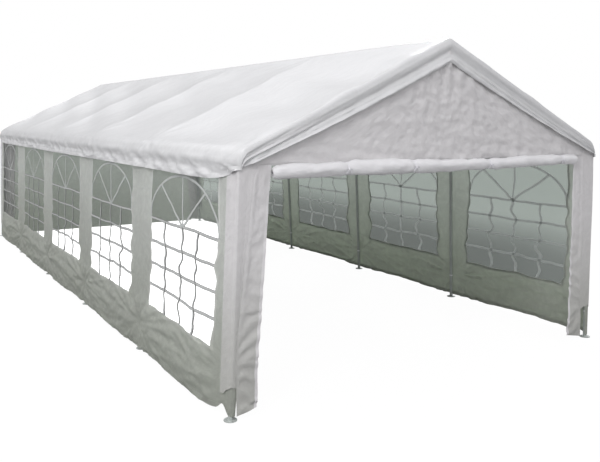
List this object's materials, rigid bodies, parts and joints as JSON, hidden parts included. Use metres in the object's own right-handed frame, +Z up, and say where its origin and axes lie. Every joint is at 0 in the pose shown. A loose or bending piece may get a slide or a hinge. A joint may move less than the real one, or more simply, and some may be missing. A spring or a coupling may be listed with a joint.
{
  "type": "party marquee tent",
  "caption": "Long gabled party tent: white sheet cover and walls with clear arched windows on a steel tube frame, its front end open under a rolled-up door.",
  "frame": {"origin": "on the ground, at the middle of the tent's plan", "axes": "+Y along the tent from its open front end to its closed back end, +X to the right of someone who stands in front of the open end and looks in, +Z up"},
  "size_m": [4.204, 10.1343, 2.9184],
  "materials": {
    "frame_steel": "powder coated or galvanised steel tube, satin",
    "roof_sheet": "white woven polyethylene tarpaulin, coated, satin",
    "wall_sheet": "thin white woven polyethylene sheet, creased, satin",
    "window_film": "clear soft plastic film, glossy, with white glazing bars"
  },
  "bodies": {
    "root": {"back_door_panel": "wall_sheet", "back_gable_wall": "wall_sheet", "eave_purlin_left": "frame_steel", "eave_purlin_right": "frame_steel", "front_door_roll": "wall_sheet", "front_gable_wall": "wall_sheet", "leg_left_1": "frame_steel", "leg_left_2": "frame_steel", "leg_left_3": "frame_steel", "leg_left_4": "frame_steel", "leg_left_5": "frame_steel", "leg_left_6": "frame_steel", "leg_right_1": "frame_steel", "leg_right_2": "frame_steel", "leg_right_3": "frame_steel", "leg_right_4": "frame_steel", "leg_right_5": "frame_steel", "leg_right_6": "frame_steel", "rafter_left_1": "frame_steel", "rafter_left_2": "frame_steel", "rafter_left_3": "frame_steel", "rafter_left_4": "frame_steel", "rafter_left_5": "frame_steel", "rafter_left_6": "frame_steel", "rafter_right_1": "frame_steel", "rafter_right_2": "frame_steel", "rafter_right_3": "frame_steel", "rafter_right_4": "frame_steel", "rafter_right_5": "frame_steel", "rafter_right_6": "frame_steel", "ridge_purlin": "frame_steel", "roof_cover": "roof_sheet", "side_wall_left": "wall_sheet", "side_wall_right": "wall_sheet", "window_left_1": "window_film", "window_left_2": "window_film", "window_left_3": "window_film", "window_left_4": "window_film", "window_left_5": "window_film", "window_right_1": "window_film", "window_right_2": "window_film", "window_right_3": "window_film", "window_right_4": "window_film", "window_right_5": "window_film"}
  },
  "joints": []
}
